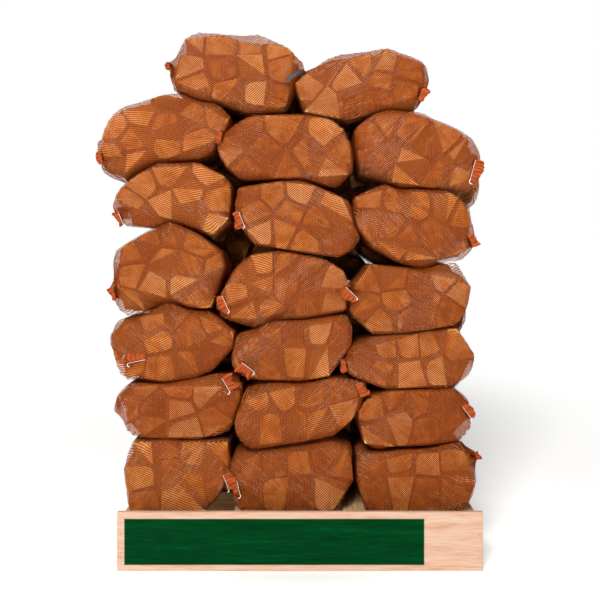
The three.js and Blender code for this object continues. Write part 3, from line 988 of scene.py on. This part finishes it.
def net_bag(row, bag, places, turn, rng):
    """The net of one bag: two sets of tapes crossing, the ruffle beyond its hem and the string."""
    upper, lower, length = HEMS[bag]
    middle = places[FAN:-FAN].mean((0, 1))
    side = -1 if upper[0] + lower[0] < 2 * middle[0] else 1
    column = 0 if side < 0 else -1
    neck = places[column]
    line = np.array([upper[0] - lower[0], 0, upper[1] - lower[1]]) / 2
    places = pleated(finer(places), column, rng)
    out = facing(places)
    coarse = hidden_knots(places, out, row, bag)
    lean = 1 if rng.random() < 0.5 else -1
    parts = []
    for kind, slant, tint in (("broad", lean, SHADED_ORANGE), ("narrow", -lean, LIGHT)):
        verts, faces = tape_faces(places, out, slant, TAPE[kind], TAPE_LIFT[kind], coarse)
        # some of the narrow tape is painted paler, as a painted sheen
        pale = painted_sheen(faces, rng) if kind == "narrow" else np.zeros(len(faces), bool)
        parts += [(verts, faces[~pale], tint), (verts, faces[pale], SHEEN)]
    parts.append((*frill_faces(neck, line, side, length * RUFFLE_FOLDED, rng), GATHERED))
    if 2 * np.linalg.norm(line) > SHORTEST_SHOWN:
        parts.append((*string_faces(neck, line, rng), STRING))
    start = 0
    all_verts, all_faces, tints = [], [], []
    for verts, faces, tint in parts:
        all_verts.append(verts)
        all_faces.append(faces + start)
        strips = np.arange(len(faces)) % AROUND % FRILL_LINES[1] < FRILL_LINES[0]
        tints += [SHADED_ORANGE if tint == GATHERED and strip else tint for strip in strips]
        start += len(verts)
    placed = np.concatenate(all_verts) * (turn, turn, 1)
    used, faces = np.unique(np.concatenate(all_faces), return_inverse=True)
    faces = faces.reshape(-1, 4)
    net = into_scene(f"net_{row}_{bag}", placed[used].tolist(), faces.tolist())
    net.data.polygons.foreach_set("material_index", tints)
    return net


def dyed_plastic(name, colour):
    """Polyethylene or polypropylene, dyed through: even in colour and slightly waxy, with a soft
    shine that is spread too thin over the narrow tape to show as a glint."""
    material, tree, surface = new_material(name)
    feed(tree, surface, {"Base Color": linear(colour), "Roughness": 0.6, "IOR": 1.5,
                         "Specular IOR Level": 0.12})
    return material


tape_materials = [
    # broad tape: the dye's orange, painted darker for the shadow each tape casts on the wood and its own
    # shaded edges
    dyed_plastic("polyethylene_net_orange_painted_shade", "823608"),
    dyed_plastic("polyethylene_net_light", "d97638"),
    dyed_plastic("polyethylene_net_gathered", "a64a20"),
    dyed_plastic("polypropylene_string_white", "eeeeec"),
    # pale tape: painted sheen, where the net would catch the light
    dyed_plastic("polyethylene_net_painted_sheen", "e8a27a"),
]
for count, bag in enumerate(bag_names):
    for row, turn in ROW_TURN.items():
        rng = np.random.default_rng(count + 900)
        places = net_places(bag, *solids[f"bag_{row}_{bag}"], rng)
        net = net_bag(row, bag, places, turn, rng)
        for material in tape_materials:
            net.data.materials.append(material)
        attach(net, "root")
        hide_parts(f"bag_{row}_{bag}")


# Strap: a short tail of narrow webbing, woven from dark grey polyester. It isn't fixed: it is
# caught between the two top bags, comes out to the front and hangs down over the left one.

STRAP_WIDTH = 0.012
STRAP_THICK = 0.0016
RIB_PITCH = 0.00196      # two ribs of 1 mm, light and dark
STRAP_PATH = [(0.030, -0.24, 1.655), (0.022, -0.29, 1.664), (0.006, -0.336, 1.660),
              (-0.012, -0.349, 1.648), (-0.030, -0.350, 1.635), (-0.046, -0.347, 1.622)]
PATH_PLACES = 26
SMOOTHED = 6

# A flat band with a rounded selvedge on both sides. Woven polyester is dull and dark, and its
# ribs break up what light it catches.
knots = np.array(STRAP_PATH)
share = np.linspace(0, 1, len(knots))
path = np.stack([np.interp(np.linspace(0, 1, PATH_PLACES), share, knots[:, i]) for i in range(3)], axis=1)
for _ in range(SMOOTHED):
    path[1:-1] = (path[:-2] + 2 * path[1:-1] + path[2:]) / 4
run = unit(np.gradient(path, axis=0))
across = unit(np.cross(run, (0.25, -0.9, 0.1)))
up = np.cross(across, run)
section = [(-1, 0), (-0.9, 0.5), (0, 0.62), (0.9, 0.5), (1, 0), (0.9, -0.5), (0, -0.62), (-0.9, -0.5)]
verts = [p + a * s * STRAP_WIDTH / 2 + u * t * STRAP_THICK
         for p, a, u in zip(path, across, up) for s, t in section]
sides = len(section)
faces = ring_faces(len(path), sides).tolist()
faces += [tuple(range(sides))[::-1], tuple(range((len(path) - 1) * sides, len(path) * sides))]
strap = into_scene("webbing_strap", [tuple(v) for v in verts], faces)
material, tree, surface = new_material("polyester_webbing_grey")
place = add(tree, "TexCoord").outputs["Object"]
scale = math.tau / 20 / RIB_PITCH      # a wave texture has 20 radians to a unit of its scale
ribs = add(tree, "TexWave", {"Vector": place, "Scale": scale, "Distortion": 0.4})
stops = [(0.0, "1e2429"), (1.0, "3f4a52")]
colour = add(tree, "ValToRGB", {"Fac": ribs.outputs["Fac"]}, stops)
feed(tree, surface, {"Base Color": colour, "Roughness": 0.7})
strap.data.materials.append(material)
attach(strap, "root")


# Studio: a plain pale floor, soft light from above and in front, and the camera of the photo,
# level and at the height of the fourth layer.

FLOOR_REACH = 30.0
GLOW = {"From Min": 1.5, "From Max": 6.0, "To Min": 0.38, "To Max": 0.78}    # metres, strength
DARK_UNDER = {"From Min": 0.3, "From Max": 0.65}     # no glow in the shade below the pallet

# A pale matt floor that glows a little, more so far out, so that it fades into white.
material, tree, surface = new_material("pale_studio_floor")
place = add(tree, "TexCoord").outputs["Object"]
distance = add(tree, "VectorMath", {0: place}, operation="LENGTH").outputs["Value"]
glow = add(tree, "MapRange", {"Value": distance, **GLOW})
shade = add(tree, "MapRange", {"Value": distance, **DARK_UNDER})
beyond = add(tree, "Math", {0: glow, 1: shade}, operation="MULTIPLY")
feed(tree, surface, {"Base Color": linear("f4f3f1"), "Roughness": 0.9,
                     "Emission Color": linear("ffffff"), "Emission Strength": beyond})
corners = [(x * FLOOR_REACH, y * FLOOR_REACH, 0) for x, y in ((-1, -1), (1, -1), (1, 1), (-1, 1))]
floor = into_scene("studio_floor", corners, [(0, 1, 2, 3)])
floor.data.materials.append(material)

# One large soft lamp above and in front, a little to the left.
LIGHT_PLACE = Vector((-1.4, -6.0, 5.0))
LIT_MIDDLE = Vector((0, 0, 1.2))
lamp = bpy.data.objects.new("key_light", bpy.data.lights.new("key_light", "AREA"))
lamp.data.shape = "SQUARE"
lamp.data.size = 1.9
lamp.data.energy = 575
lamp.location = LIGHT_PLACE
lamp.rotation_euler = (LIT_MIDDLE - LIGHT_PLACE).to_track_quat("-Z", "Y").to_euler()
bpy.context.scene.collection.objects.link(lamp)

SKY_STRENGTH = 0.28      # the sky fills the shadows softly, but is plain white to the camera
world = bpy.data.worlds.new("studio")
world.use_nodes = True
sky = world.node_tree
seen = add(sky, "LightPath").outputs["Is Camera Ray"]
strength = add(sky, "MapRange", {"Value": seen, "To Min": SKY_STRENGTH, "To Max": 1.0})
feed(sky, sky.nodes["Background"], {"Color": linear("ffffff"), "Strength": strength})
bpy.context.scene.world = world
bpy.context.scene.view_settings.view_transform = "Standard"

CAMERA_HEIGHT = 1.036
CAMERA_BACK = 2.92
VIEW_ANGLE = math.radians(42.9)
HORIZON_ABOVE_MIDDLE = 45 / 600      # of the picture's height
camera = bpy.data.objects.new("camera", bpy.data.cameras.new("camera"))
camera.data.angle = VIEW_ANGLE
camera.data.shift_y = -HORIZON_ABOVE_MIDDLE
camera.location = (0, -CAMERA_BACK, CAMERA_HEIGHT)
camera.rotation_euler = (math.radians(90), 0, 0)
bpy.context.scene.collection.objects.link(camera)
bpy.context.scene.camera = camera
